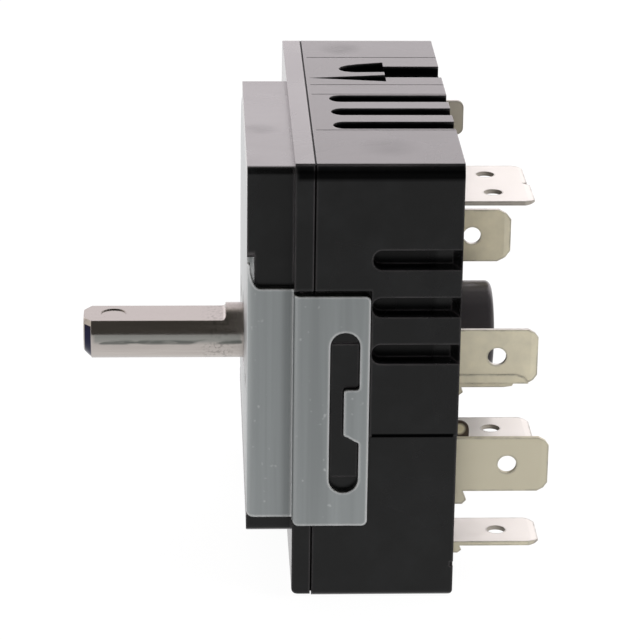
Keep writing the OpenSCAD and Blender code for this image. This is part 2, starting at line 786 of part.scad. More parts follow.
// A helix of round wire along X, with a sweep of rings
module push_spring() color([0.6, 0.6, 0.62]) {
    steps = 16;
    sides = 8;
    x0 = shoulder_x + wire_r + 0.02;
    x1 = chamber_x - wire_r - 0.02;
    n = coil_turns * steps;
    pitch = (x1 - x0) / n;
    pts = [for (i = [0 : n], k = [0 : sides - 1])
        let (a = 360 * i / steps, b = 360 * k / sides, r = coil_r + wire_r * cos(b))
            [x0 + pitch * i + wire_r * sin(b), r * cos(a), r * sin(a)]];
    faces = concat(
        [[for (k = [sides - 1 : -1 : 0]) k]],
        [for (i = [0 : n - 1], k = [0 : sides - 1])
            let (m = (k + 1) % sides) [i * sides + k, i * sides + m,
                (i + 1) * sides + m, (i + 1) * sides + k]],
        [[for (k = [0 : sides - 1]) n * sides + k]]);
    polyhedron(pts, faces);
}

module control_cam() color([0.86, 0.84, 0.78]) {
    difference() {
        union() {
            along_x(hub_x0, hub_x1) circle(hub_r);
            along_x(track_x0, track_x1) track_outline(track_r, track_lift, 90);
            along_x(gear_x0, gear_x0 + track_t) track_outline(zone_r, zone_lift, -90);
            // lug that meets the cover's stop
            along_x(hub_x0, track_x0 + eps) sector(hub_r - eps, hub_r + lug_reach, 90 - lug_half, 90 + lug_half);
        }
        along_x(hub_x0 - over, hub_x1 + over) d_outline(shaft_r + shaft_clear, flat_h + shaft_clear);
    }
}

module follower_lever() color([0.7, 0.71, 0.7]) {
    difference() {
        union() {
            along_x(lever_x0, lever_x1) {
                translate([-nose_r, lever_z0]) square([pivot_y + nose_r, lever_h]);
                translate([0, nose_z]) circle(nose_r);
                translate([-nose_r, nose_z]) square([2 * nose_r, lever_z0 - nose_z + eps]);
            }
            along_x(lever_x0, gear_x1 - 0.7) translate([pivot_y, pivot_z]) circle(eye_r);
            // seat of the bimetal
            box([lever_x0, pivot_y - 5.5, lever_z1 - eps], [gear_x1, pivot_y - 2.6, bimetal_z]);
            // ear of the calibration screw
            box([lever_x1 - eps, screw_y - 1.6, lever_z1 - 1], [gear_x1, screw_y + 1.6, lever_z1]);
        }
        along_x(lever_x0 - over, gear_x1 + over)
            translate([pivot_y, pivot_z]) circle(pivot_r + shaft_clear);
        translate([snap_x, screw_y, 0]) cylinder(h = high_z, r = screw_r + 0.02);
    }
}

module pivot_pin() color([0.75, 0.75, 0.76]) {
    along_x(lever_x0 - 0.1, floor_x + 1) translate([pivot_y, pivot_z]) circle(pivot_r);
}

module bimetal_strip() color([0.72, 0.66, 0.5]) {
    box([gear_x0, bimetal_y0, bimetal_z], [gear_x1, bimetal_y1, bimetal_z + bimetal_t]);
}

module bimetal_heater() color([0.82, 0.78, 0.68]) {
    g = 0.05;
    t = 0.5;
    y0 = pivot_y - 8.7;
    y1 = pivot_y - 5.6;
    difference() {
        union() {
            box([gear_x0 - g - t, y0, bimetal_z - g - t],
                [gear_x1 + g + t, y1, bimetal_z + bimetal_t + g + t]);
            // wound wire shows as ridges round the mica sleeve
            for (y = [y0 + 0.5 : 0.6 : y1 - 0.4])
                box([gear_x0 - g - t - 0.15, y - 0.15, bimetal_z - g - t - 0.15],
                    [gear_x1 + g + t + 0.15, y + 0.15, bimetal_z + bimetal_t + g + t + 0.15]);
        }
        box([gear_x0 - g, y0 - over, bimetal_z - g], [gear_x1 + g, y1 + over, bimetal_z + bimetal_t + g]);
    }
}

module push_pin() color([0.93, 0.92, 0.88]) {
    z0 = bimetal_z + bimetal_t;
    translate([snap_x, bimetal_y0 + 1.2, z0])
        cylinder(h = push_pin_len, r = 0.9);
}

module calibration_screw() color([0.8, 0.68, 0.38]) {
    translate([snap_x, screw_y, lever_z1 - 2 * screw_head_t]) cylinder(h = bimetal_up + 2 * screw_head_t, r = screw_r);
    translate([snap_x, screw_y, lever_z1 - 2 * screw_head_t]) cylinder(h = screw_head_t, r = screw_r + 0.52);
}

module snap_blade() color([0.8, 0.62, 0.36]) {
    along_z(snap_z, snap_top) difference() {
        translate([gear_x0, snap_tip_y]) square([gear_w, snap_root_y - snap_tip_y]);
        // cut-out that leaves the two outer legs and the centre leg
        for (s = [-1, 1])
            translate([snap_x + s * gear_w / 4 - blade_cut / 2, snap_contact_y + 2 * foot_half])
                square([blade_cut, snap_root_y - snap_contact_y - 2 * foot_half - riser_half / 2]);
    }
}

module snap_moving_contact() color([0.85, 0.84, 0.8]) {
    translate([snap_x, snap_contact_y, snap_top]) cylinder(h = contact_h, r = contact_r);
}

module snap_fixed_contact() color([0.85, 0.84, 0.8]) {
    translate([snap_x, snap_contact_y, tongue_top - contact_h]) cylinder(h = contact_h, r = contact_r);
}

module zone_blade() color([0.8, 0.62, 0.36]) {
    box([gear_x0, zone_root_y, zone_under], [gear_x1, zone_tip_y, -zone_z]);
    along_x(gear_x0, gear_x0 + track_t) {
        translate([0, zone_nose_z]) circle(nose_r);
        translate([-nose_r, -zone_z - eps]) square([2 * nose_r, zone_nose_z + zone_z + eps]);
    }
}

module zone_moving_contact() color([0.85, 0.84, 0.8]) {
    translate([snap_x, zone_contact_y, zone_under - contact_h]) cylinder(h = contact_h, r = contact_r);
}

module zone_fixed_contact() color([0.85, 0.84, 0.8]) {
    translate([snap_x, zone_contact_y, zone_fixed_z - contact_h]) cylinder(h = contact_h, r = contact_r);
}

// Outline of a tab in (X, across): it starts at x0 and its chamfered end is at x1
module tab_outline(x0, x1, w, c) {
    difference() {
        polygon([[x0, -w / 2], [x1 - 1.2 * c, -w / 2], [x1 - 0.45 * c, -w / 2 + 0.4 * c], [x1, -w / 2 + c],
            [x1, w / 2 - c], [x1 - 0.45 * c, w / 2 - 0.4 * c], [x1 - 1.2 * c, w / 2], [x0, w / 2]]);
        translate([x1 - tab_hole_in, 0]) circle(tab_hole_r);
    }
}

// Outline of a terminal's root against the back face, in (X, Z) under the edge at height z
module root_outline(reach, drop, z) {
    translate([back_x, z]) polygon([[0, eps], [0, -drop], [reach * 0.7, -drop], [reach, -drop * 0.7],
        [reach * 0.85, -drop * 0.3], [reach * 0.7, eps]]);
}

// Side view of a tab in (X, thickness), bevelled at its end
module tab_side(x0, x1) {
    b = 0.8;
    t = tab_t / 2;
    polygon([[x0, -t], [x1 - b, -t], [x1, -t / 2], [x1, t / 2], [x1 - b, t], [x0, t]]);
}

// A tab that stands upright, in the plane Y = y
module upright_tab(x0, x1, y, z, w, c) {
    intersection() {
        along_y(y - tab_t, y + tab_t) translate([0, z]) tab_outline(x0, x1, w, c);
        along_z(z - w, z + w) translate([0, y]) tab_side(x0, x1);
    }
}

// A tab that lies level, in the plane Z = z
module level_tab(x0, x1, y, z, w, c) {
    intersection() {
        along_z(z - tab_t, z + tab_t) translate([0, y]) tab_outline(x0, x1, w, c);
        along_y(y - w, y + w) translate([0, z]) tab_side(x0, x1);
    }
}

module terminal_double() color(tin) {
    x1 = back_x + reach_double;
    y0 = snap_contact_y - riser_half;
    y1 = snap_contact_y + riser_half;
    c = tab_c;
    // the far half ends a little shorter
    x2 = x1 - far_step;
    intersection() {
        along_z(double_z - tab_t, double_z + tab_t) translate([0, double_y0]) difference() {
            // the two tabs part only at a small notch
            polygon([[tail_x, 0], [x1 - 1.2 * c, 0], [x1 - 0.45 * c, 0.4 * c], [x1, c],
                [x1, double_w / 2 - 0.4], [x2 - 0.5, double_w / 2], [x2, double_w / 2 + 0.4],
                [x2, double_w - c], [x2 - 0.45 * c, double_w - 0.4 * c], [x2 - 1.2 * c, double_w], [tail_x, double_w]]);
            translate([x1 - tab_hole_in, double_w / 4]) circle(tab_hole_r);
            translate([x2 - tab_hole_in, double_w * 3 / 4]) circle(tab_hole_r);
        }
        along_y(double_y0, double_y0 + double_w) translate([0, double_z]) tab_side(tail_x, x1);
    }
    // riser and tongue that carry the fixed contact
    box([tail_x, y0, min(double_z, tongue_top)], [tail_x + tab_t, y1, max(double_z, tongue_top) + tab_t]);
    box([gear_x0, y0, tongue_top], [tail_x + tab_t, y1, tongue_top + tab_t]);
}

module terminal_upper() color(tin) {
    upright_tab(tail_x, back_x + reach_upper, upper_y, upper_z, tab_w, upper_c);
}

module terminal_middle() color(tin) {
    fold_proud = 0.12;
    upright_tab(tail_x, back_x + reach_middle, middle_y, middle_z, tab_w, tab_c);
    // folded lower edge with its tapered end, its lip and the root under it
    z = middle_z - tab_w / 2;
    lip = 0.45;
    x1 = reach_middle - tab_c;
    along_y(middle_y - tab_t / 2 - fold_proud, middle_y) translate([back_x, z])
        polygon([[0.1, 0], [0.1, 2.3 * lip], [x1 - 3 * lip, 2.3 * lip], [x1 - lip, 1.6 * lip], [x1, 0]]);
    along_y(middle_y - tab_t / 2, middle_y + 1.5 * tab_t) translate([back_x, z])
        polygon([[0.1, lip], [0.1, -lip], [x1 - 6 * lip, -lip], [x1 - 4 * lip, -0.7 * lip], [x1 - 3.2 * lip, lip]]);
    along_y(middle_y - tab_t / 2, middle_y + 1.5 * tab_t) root_outline(root_reach, root_drop, z - 0.6 * lip);
}

module terminal_inner() color(tin) {
    level_tab(tail_x, back_x + reach_inner, inner_y, inner_z, tab_w, tab_c);
    // ear bent up at the root
    r = ear_r;
    y0 = inner_y - tab_w / 2;
    along_y(y0, y0 + tab_t / 2) translate([back_x, inner_z]) {
        square([2 * r, ear_h]);
        square([r, ear_h + r]);
        translate([r, ear_h]) circle(r);
    }
}

module terminal_lower() color(tin) {
    upright_tab(tail_x, back_x + reach_lower, lower_y, lower_z, tab_w, tab_c);
    along_y(lower_y - tab_t / 2, lower_y + tab_t / 2) root_outline(1.1 * root_reach, 1.4 * root_drop, lower_z - tab_w / 2);
    // foot beside the second circuit's blade
    box([gear_x0, lower_y - tab_t / 2, zone_under - 0.4], [tail_x + eps, lower_y + tab_t / 2, -zone_z + 2]);
}

module terminal_bottom() color(tin) {
    y0 = bottom_y - tab_w / 2;
    y1 = zone_contact_y + foot_half;
    z1 = zone_fixed_z - contact_h;
    level_tab(tail_x, back_x + reach_bottom, bottom_y, bottom_z, tab_w, tab_c);
    along_y(y0, y0 + tab_t / 2) root_outline(root_reach, root_drop, bottom_z);
    box([tail_x, y0, bottom_z], [tail_x + tab_t, bottom_y + tab_w / 2, z1]);
    box([tail_x, bottom_y, z1 - foot_half], [tail_x + tab_t, y1, z1]);
    box([gear_x0, zone_contact_y - foot_half, z1 - tab_t], [tail_x + tab_t, y1, z1]);
}

module terminal_tail() color(tin) {
    x1 = back_x + reach_tail;
    r = tail_w / 5;
    along_y(tail_y - tab_t / 2, tail_y + tab_t / 2) difference() {
        translate([tail_x, tail_z - tail_w / 2]) square([x1 - tail_x, tail_w]);
        translate([x1, tail_z - tail_w / 2]) bend_cut(-1, 1, r);
        translate([x1, tail_z + tail_w / 2]) bend_cut(-1, -1, r);
    }
    box([gear_x0, tail_y - tab_t / 2, min(snap_z - foot_rim, tail_z)],
        [tail_x + eps, tail_y + tab_t / 2, max(snap_top + foot_rim, tail_z)]);
}

base_housing();
front_cover();
mounting_bracket();
drive_shaft();
shaft_clip();
push_spring();
control_cam();
follower_lever();
pivot_pin();
bimetal_strip();
bimetal_heater();
push_pin();
calibration_screw();
snap_blade();
snap_moving_contact();
snap_fixed_contact();
zone_blade();
zone_moving_contact();
zone_fixed_contact();
terminal_double();
terminal_upper();
terminal_middle();
terminal_inner();
terminal_lower();
terminal_bottom();
terminal_tail();
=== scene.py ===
"""Looks, light and camera for the range infinite switch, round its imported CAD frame.

Metres, in the frame of the CAD: -X out along the shaft, +X to the terminals, -Y the
near side, +Z up. The switch lies on its bottom wall, on a pale floor.
"""
import json
import math

import bpy
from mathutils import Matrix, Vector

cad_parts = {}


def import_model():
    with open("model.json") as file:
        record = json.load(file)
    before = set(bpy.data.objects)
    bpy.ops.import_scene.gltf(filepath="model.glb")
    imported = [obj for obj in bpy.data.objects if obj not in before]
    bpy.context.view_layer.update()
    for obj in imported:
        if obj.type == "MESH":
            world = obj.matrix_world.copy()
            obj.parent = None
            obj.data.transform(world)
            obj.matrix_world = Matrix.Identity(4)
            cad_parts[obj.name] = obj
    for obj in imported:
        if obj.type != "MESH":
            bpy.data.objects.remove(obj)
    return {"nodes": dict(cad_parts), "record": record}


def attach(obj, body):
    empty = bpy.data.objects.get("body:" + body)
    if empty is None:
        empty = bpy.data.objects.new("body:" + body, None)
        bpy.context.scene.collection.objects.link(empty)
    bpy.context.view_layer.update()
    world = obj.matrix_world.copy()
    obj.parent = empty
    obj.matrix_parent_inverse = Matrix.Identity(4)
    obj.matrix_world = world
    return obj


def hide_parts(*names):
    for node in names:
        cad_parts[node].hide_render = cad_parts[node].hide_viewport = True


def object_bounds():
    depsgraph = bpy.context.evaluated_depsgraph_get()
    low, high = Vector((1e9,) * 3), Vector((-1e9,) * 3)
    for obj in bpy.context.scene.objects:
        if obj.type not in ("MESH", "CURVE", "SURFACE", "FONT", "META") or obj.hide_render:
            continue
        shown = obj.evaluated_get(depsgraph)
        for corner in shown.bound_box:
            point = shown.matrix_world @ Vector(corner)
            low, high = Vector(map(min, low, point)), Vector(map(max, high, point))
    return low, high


MM = 0.001

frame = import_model()
nodes = frame["nodes"]
cad_low, cad_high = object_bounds()

# Camera, fitted to the photo's edges and holes
CAMERA_AT = (-0.005470, -0.315115, 0.120947)
CAMERA_TURN = (69.1994, -0.7245, -2.3201)
CAMERA_FOV = 12.418

# How bright the room and the floor are in front of the switch and behind it, and where
# along Y the one fades into the other
ROOM_FADE = (0.1, 0.7)
ROOM_LEVELS = (0.06, 1.3)
ROOM_TINTS = ((1, 0.95, 0.86), (1, 0.945, 0.965))
FLOOR_FADE = (-0.15, 0.15)
FLOOR_LEVELS = (0.6, 1.0)

# How bright the room and the floor look straight from the camera
ROOM_WHITE = 1.0
FLOOR_WHITE = 1.06

# The floor: share of its look that is its own glow, grey of the rest, how far it lies
# below the switch in millimetres, and size
FLOOR_GLOW = 0.9
FLOOR_GREY = 0.9
FLOOR_GAP = 0.05
FLOOR_SIZE = 4.0

# Soft strips of light at both ends of the switch: where along X they rise, how bright
SIDE_GLOW = (((0.75, 0.98), 0.9), ((-0.75, -0.98), 0.7))

# Soft lamps: name, place, size and level
FILLS = (
    ("front_fill", (-0.3, -0.7, 0.5), (0.9, 0.7), 1.5),
    ("top_fill", (0.2, 0.3, 0.8), (0.9, 0.9), 1.2),
    ("side_fill", (0.6, -0.15, 0.35), (0.6, 0.6), 2.2),
)

# Strength of the plastic's gloss at grazing angles
COAT_IOR = 2.2

# All places from here to the smudges are in millimetres. Farther than any piece reaches:
FAR = 99

# The housing along X: end of the raised front, seam of the two shells, both ends of the
# near side slots, start of the near side's step, back face, foot of the boss
FRONT_X = 4.95
SEAM_X = 7.15
SIDE_SLOTS_X = (12, 20.3)
STEP_X = 13.3
BACK_X = 22.7
BOSS_X = BACK_X + 0.3

# Height of the near side's step, and how far the raised front's top lies below the housing's
STEP_Z = -2.75
FRONT_DROP = 1.35

# From and to how far below a top the painted shade band under its near edge goes, and its fade
EDGE_BAND = (1.9, 0.3)
BAND_SOFT = 0.45

# The shaft: end of the tip's chamfer, length of that chamfer, farther than its side
TIP_X = -17.3
TIP_CHAMFER = 0.82
SHAFT_SIDE = 9

# The tabs that lie flat: how far they reach across, and each one's under and upper side
LYING_Y = (-17, 20)
LYING_TABS = ((16.35, 16.91), (-7.48, -6.92), (-18.48, -17.92))

# Boxes round the lower tab, the riveting tail and the inner tab's ear, and the ear's middle
LOWER_TAB = ((BACK_X, FAR), (-23, -19), (-14, -2))
TAIL = ((0, FAR), (14, FAR), (12, FAR))
EAR = ((BACK_X, BACK_X + 2.3), (-16.6, -15.7), (-7.0, -3.4))
EAR_MIDDLE = (BACK_X + 1, -16, -5.7)

# Soft smudges on the plastic's top: place, radius, how much gloss stays
SMUDGES = (
    ((11.7, 19.7, 27.8), 2.8, 0.6),
    ((1.7, -7.9, 26.5), 2.2, 0.68),
    ((15.1, -18.8, 27.8), 3.6, 0.72),
)

# Colours, linear
WHITE = (1, 1, 1)
BLACK = (0.0050, 0.0054, 0.0058)
# Painted light: a lighter side for the boss than the rest of the black moulding
BOSS_SIDE_LIGHT = (0.042, 0.038, 0.042)
# Painted highlight along the black moulding's edges
EDGE_HIGHLIGHT = (0.10, 0.092, 0.096)
COAT_TINT = (1, 0.96, 0.98)
ZINC = (0.40, 0.425, 0.43)
# Painted reflection: the pale zinc front face
ZINC_FRONT_REFLECTION = (0.93, 0.94, 0.95)
ZINC_SPECK = (0.85, 0.87, 0.87)
TIN = (0.83, 0.77, 0.59)
TIN_CUT = (0.46, 0.42, 0.37)
# Painted highlight on the tabs' faces square to Z
TIN_TOP_HIGHLIGHT = (0.92, 0.88, 0.84)
TIN_TAIL = (0.42, 0.39, 0.34)
TIN_RIM = (0.20, 0.18, 0.16)
# Painted shade: the dark ring round the inner tab's ear
EAR_SHADE_RING = (0.07, 0.05, 0.04)
NICKEL = (0.62, 0.57, 0.535)
FLAT = (0.385, 0.355, 0.335)
CHAMFER_DARK_BLUE = (0.022, 0.022, 0.050)
SCUFF = (0.16, 0.15, 0.14)
# Painted shade: a grey strip along the shaft's near side
GREY_SHADE_STRIP = (0.30, 0.31, 0.29)
DARK_STREAK = (0.10, 0.11, 0.10)
STEEL = (0.34, 0.34, 0.35)
BIMETAL = (0.45, 0.4, 0.3)
BRASS = (0.7, 0.5, 0.2)
BRONZE = (0.56, 0.33, 0.15)
SILVER = (0.70, 0.69, 0.66)
CREAM = (0.66, 0.62, 0.50)
MICA = (0.42, 0.33, 0.22)
CERAMIC = (0.8, 0.79, 0.75)


def shade(colour, factor):
    """A colour made darker or lighter."""
    return tuple(factor * c for c in colour)


def add(tree, kind, **settings):
    """A new node with its settings."""
    node = tree.nodes.new(kind)
    for key, value in settings.items():
        setattr(node, key, value)
    return node


def part_of(tree, vector, axis):
    """One coordinate of a vector."""
    node = add(tree, "ShaderNodeSeparateXYZ")
    tree.links.new(vector, node.inputs[0])
    return node.outputs[axis]


def map_range(tree, value, numbers, **settings):
    """Maps a value: from its low and high, to another low and high."""
    node = add(tree, "ShaderNodeMapRange", **settings)
    for key, number in zip(("From Min", "From Max", "To Min", "To Max"), numbers):
        node.inputs[key].default_value = number
    tree.links.new(value, node.inputs["Value"])
    return node.outputs["Result"]


def combine(tree, operation, a, b):
    """Two values joined by a maths operation."""
    node = add(tree, "ShaderNodeMath", operation=operation)
    tree.links.new(a, node.inputs[0])
    tree.links.new(b, node.inputs[1])
    return node.outputs[0]


def mix_colours(tree, factor, first, second):
    """Between two colours, by a factor from 0 to 1. The first may come from a node."""
    node = add(tree, "ShaderNodeMix", data_type="RGBA")
    if isinstance(first, tuple):
        node.inputs["A"].default_value = (*first, 1)
    else:
        tree.links.new(first, node.inputs["A"])
    node.inputs["B"].default_value = (*second, 1)
    tree.links.new(factor, node.inputs["Factor"])
    return node.outputs["Result"]


class Finish:
    """A Principled material whose detail is laid out in the CAD's own coordinates."""

    def __init__(self, name, colour, metallic, roughness, specular=0.5):
        self.material = bpy.data.materials.new(name)
        self.material.use_nodes = True
        self.tree = self.material.node_tree
        self.bsdf = self.tree.nodes["Principled BSDF"]
        self.bsdf.inputs["Base Color"].default_value = (*colour, 1)
        self.bsdf.inputs["Metallic"].default_value = metallic
        self.bsdf.inputs["Roughness"].default_value = roughness
        self.bsdf.inputs["Specular IOR Level"].default_value = specular
        self.place = self.add("ShaderNodeTexCoord").outputs["Object"]
        self.colour = None
        self.normal = None

    def add(self, kind, **settings):
        return add(self.tree, kind, **settings)

    def link(self, a, b):
        self.tree.links.new(a, b)

    def noise(self, scale, detail=2.0, stretch=(1, 1, 1), distortion=0.0):
        """Noise with about `scale` patches a metre along an unstretched axis."""
        mapping = self.add("ShaderNodeMapping")
        mapping.inputs["Scale"].default_value = stretch
        texture = self.add("ShaderNodeTexNoise")
        texture.inputs["Scale"].default_value = scale
        texture.inputs["Detail"].default_value = detail
        texture.inputs["Distortion"].default_value = distortion
        self.link(self.place, mapping.inputs["Vector"])
        self.link(mapping.outputs["Vector"], texture.inputs["Vector"])
        return texture.outputs["Fac"]

    def remap(self, value, *numbers):
        return map_range(self.tree, value, numbers)

    def spread(self, noise, low, high):
        """Lays the middle of a noise over a range."""
        return self.remap(noise, 0.3, 0.7, low, high)

    def share(self, mask, most):
        """A mask that reaches only `most`."""
        return self.remap(mask, 0, 1, 0, most)

    def dim(self, mask, left):
        """1 outside a mask and `left` inside it."""
        return self.remap(mask, 0, 1, 1, left)

    def inverse(self, mask):
        return self.dim(mask, 0)

    def times(self, a, b):
        return combine(self.tree, "MULTIPLY", a, b)

    def between(self, axis, low, high, soft=0.03):
        """1 where a coordinate lies from low to high, in millimetres, 0 elsewhere."""
        value = part_of(self.tree, self.place, axis)
        above = self.remap(value, low * MM, (low + soft) * MM, 0, 1)
        return self.times(above, self.remap(value, (high - soft) * MM, high * MM, 1, 0))

    def box(self, x, y, z, soft=0.03):
        """1 inside a box given by its lows and highs in millimetres, 0 outside."""
        flat = self.times(self.between("X", *x, soft), self.between("Y", *y, soft))
        return self.times(flat, self.between("Z", *z, soft))

    def away(self, at, near, far):
        """0 nearer to a place than `near` millimetres, 1 farther than `far`."""
        node = self.add("ShaderNodeVectorMath", operation="DISTANCE")
        node.inputs[1].default_value = [c * MM for c in at]
        self.link(self.place, node.inputs[0])
        return self.remap(node.outputs["Value"], near * MM, far * MM, 0, 1)

    def facing(self, axis):
        """1 on faces square to an axis, 0 on faces turned 41 degrees or more from that."""
        value = part_of(self.tree, self.add("ShaderNodeTexCoord").outputs["Normal"], axis)
        either = self.add("ShaderNodeMath", operation="ABSOLUTE")
        self.link(value, either.inputs[0])
        return self.remap(either.outputs[0], 0.75, 0.98, 0, 1)

    def rounded(self, radius):
        """The direction of the surface as if each edge had a radius in millimetres."""
        node = self.add("ShaderNodeBevel", samples=4)
        node.inputs["Radius"].default_value = radius * MM
        return node.outputs["Normal"]

    def edges(self, radius):
        """1 on the sharp outer and inner edges, 0 on the faces."""
        dot = self.add("ShaderNodeVectorMath", operation="DOT_PRODUCT")
        self.link(self.rounded(radius), dot.inputs[0])
        self.link(self.add("ShaderNodeNewGeometry").outputs["True Normal"], dot.inputs[1])
        return self.remap(dot.outputs["Value"], 0.995, 0.92, 0, 1)

    def roughness(self, noise, low, high):
        self.link(self.spread(noise, low, high), self.bsdf.inputs["Roughness"])

    def set_colour(self, colour):
        self.colour = colour
        self.link(colour, self.bsdf.inputs["Base Color"])

    def tint(self, factor, first, second):
        """Base colour between two colours, by a factor from 0 to 1."""
        self.set_colour(mix_colours(self.tree, factor, first, second))

    def over(self, factor, colour):
        """Lays another colour over the base colour where the factor is 1."""
        self.set_colour(mix_colours(self.tree, factor, self.colour, colour))

    def set_normal(self, normal):
        self.normal = normal
        self.link(normal, self.bsdf.inputs["Normal"])

    def soft_edges(self, radius):
        """Light catches every edge as on a part with small broken edges."""
        self.set_normal(self.rounded(radius))

    def bump(self, value, depth):
        """Raises the surface by a value, over soft edges, with its depth in millimetres."""
        node = self.add("ShaderNodeBump")
        node.inputs["Distance"].default_value = depth * MM
        node.inputs["Strength"].default_value = 1.0
        self.link(value, node.inputs["Height"])
        self.link(self.normal, node.inputs["Normal"])
        self.set_normal(node.outputs["Normal"])


def housing_painted_shade_and_seam(f):
    """1 on the housing's outside, and less where shade is painted: in the latch recess, the side
    slots, under the tops' near edges and at the near side's step; less at the seam, a dark joint."""
    top = cad_high.z / MM
    near = cad_low.y / MM
    front_top = top - FRONT_DROP
    side = (near - 1, near + 1)
    deep, shallow = EDGE_BAND
    # Painted shade: the latch recess, the side slots, the bands under the tops' near edges and the
    # strip at the near side's step are darkened; the seam is a real dark joint
    recess = f.box((SEAM_X + 0.1, FAR), (near + 1, FAR), (top - 1.5, top - 0.3))
    slots = f.box(SIDE_SLOTS_X, (near + 0.5, near + 2.3), (3, top - 8), 0.5)
    band = f.box((FRONT_X, FAR), side, (top - deep, top - shallow), BAND_SOFT)
    front = f.box((-9, FRONT_X), side, (front_top - deep, front_top - shallow), BAND_SOFT)
    step = f.box((STEP_X, BACK_X - 0.4), side, (STEP_Z - 0.55, STEP_Z + 0.35), 0.15)
    seam = f.between("X", SEAM_X - 0.22, SEAM_X + 0.06, 0.06)
    level = f.dim(recess, 0.1)
    for dark, left in ((slots, 0.12), (band, 0.1), (front, 0.1), (step, 0), (seam, 0.15)):
        level = f.times(level, f.dim(dark, left))
    return level


def smudged_gloss(f):
    """Share of the gloss that stays: less behind the seam and on each smudge."""
    level = f.dim(f.between("X", SEAM_X, BACK_X, 0.1), 0.68)
    uneven = f.spread(f.noise(400, 3), 0.6, 1.4)
    for at, radius, share in SMUDGES:
        inside = f.times(f.inverse(f.away(at, 0.2 * radius, radius)), uneven)
        level = f.times(level, f.dim(inside, share))
    return level


def black_plastic():
    """Glossy black moulding: a coat shows at grazing angles only, and not in recesses."""
    f = Finish("black_plastic", BLACK, 0, 0.3, specular=0.4)
    patches = f.noise(90, 4, distortion=0.4)
    f.roughness(patches, 0.22, 0.34)
    # 1 on the outside, less where shade is painted and at the seam; it also lowers the gloss there
    outside = housing_painted_shade_and_seam(f)
    # Random mottle in the black, darkened where shade is painted
    mottle_and_painted_shade = f.times(f.remap(f.noise(300, 5), 0.45, 0.8, 0.3, 1), outside)
    f.tint(mottle_and_painted_shade, shade(BLACK, 0.2), shade(BLACK, 1.4))
    boss = f.between("X", BOSS_X, FAR)
    # Painted light: the boss's round side made lighter than the rest
    f.over(f.times(boss, f.inverse(f.facing("X"))), BOSS_SIDE_LIGHT)
    # Painted highlight along the edges: patchy, and none where shade is painted
    rims = f.times(f.edges(0.35), f.times(outside, f.spread(patches, 0.1, 0.8)))
    f.over(rims, EDGE_HIGHLIGHT)
    f.link(f.share(outside, 0.34), f.bsdf.inputs["Specular IOR Level"])
    f.soft_edges(0.25)
    f.bump(f.noise(70, 2), 0.05)
    f.bump(f.noise(9000, 2), 0.002)
    grazing = f.add("ShaderNodeLayerWeight").outputs["Facing"]
    coat = f.times(f.remap(grazing, 0.35, 0.6, 0, 1), f.remap(patches, 0.3, 0.65, 0.8, 1.04))
    coat = f.times(f.times(coat, outside), smudged_gloss(f))
    f.link(f.times(coat, f.dim(boss, 0.25)), f.bsdf.inputs["Coat Weight"])
    f.bsdf.inputs["Coat Roughness"].default_value = 0.22
    f.bsdf.inputs["Coat IOR"].default_value = COAT_IOR
    f.bsdf.inputs["Coat Tint"].default_value = (*COAT_TINT, 1)
    return f.material


def zinc_steel():
    """Zinc plated sheet: soft streaks along its roll, a darker bend, a painted reflection that
    makes the front face pale, a few specks and painted highlights on the rims."""
    f = Finish("zinc_steel", ZINC, 1, 0.42)
    streaks = f.noise(620, 3, stretch=(1, 1, 0.035), distortion=0.3)
    f.tint(f.spread(streaks, 0, 1), shade(ZINC, 0.82), shade(ZINC, 1.16))
    bend = f.between("X", FRONT_X - 1.3, FRONT_X + 0.3, 0.5)
    f.over(f.share(bend, 0.6), shade(ZINC, 0.6))
    # Painted reflection: the front face made pale
    face = f.between("X", -1, 0.12, 0.05)
    f.over(f.times(face, f.spread(streaks, 0.46, 0.66)), ZINC_FRONT_REFLECTION)
    f.over(f.remap(f.noise(1300, 1), 0.72, 0.84, 0, 0.5), ZINC_SPECK)
    # Painted highlight: white along the rims
    f.over(f.times(f.edges(0.5), f.spread(streaks, 0.5, 1)), WHITE)
    f.roughness(streaks, 0.38, 0.5)
    f.soft_edges(0.25)
    f.bump(streaks, 0.004)
    f.bump(f.noise(260, 3), 0.02)
    return f.material


def metal(name, colour, low, high, scale=900, stretch=(1, 1, 1), depth=0.004, more=None):
    """A metal whose colour, roughness and level vary with one stretched noise."""
    f = Finish(name, colour, 1, (low + high) / 2)
    grain = f.noise(scale, 4, stretch)
    f.tint(f.spread(grain, 0, 1), shade(colour, 0.9), shade(colour, 1.08))
    f.roughness(grain, low, high)
    if more is not None:
        more(f)
    f.soft_edges(0.12)
    f.bump(grain, depth)
    return f.material


def tab_detail(f):
    """Tinning that is part dull: greyer cut edges, a painted highlight on faces square to Z, a
    darker lower tab, a browner tail at the far side, dark rims and a painted shade ring on
    the inner tab's ear."""
    f.bsdf.inputs["Metallic"].default_value = 0.35
    f.over(f.inverse(f.facing("Y")), TIN_CUT)
    for heights in LYING_TABS:
        f.over(f.box((BACK_X, FAR), LYING_Y, heights), TIN_CUT)
    # Painted highlight on the faces square to Z
    f.over(f.facing("Z"), TIN_TOP_HIGHLIGHT)
    f.over(f.box(*LOWER_TAB), shade(TIN, 0.8))
    f.over(f.share(f.box(*TAIL), 0.75), TIN_TAIL)
    rims = f.times(f.edges(0.4), f.remap(f.noise(700, 2), 0.35, 0.65, 0.2, 0.85))
    f.over(rims, TIN_RIM)
    # Painted shade: a dark ring round the inner tab's ear
    f.over(f.times(f.box(*EAR), f.away(EAR_MIDDLE, 0.45, 0.75)), EAR_SHADE_RING)


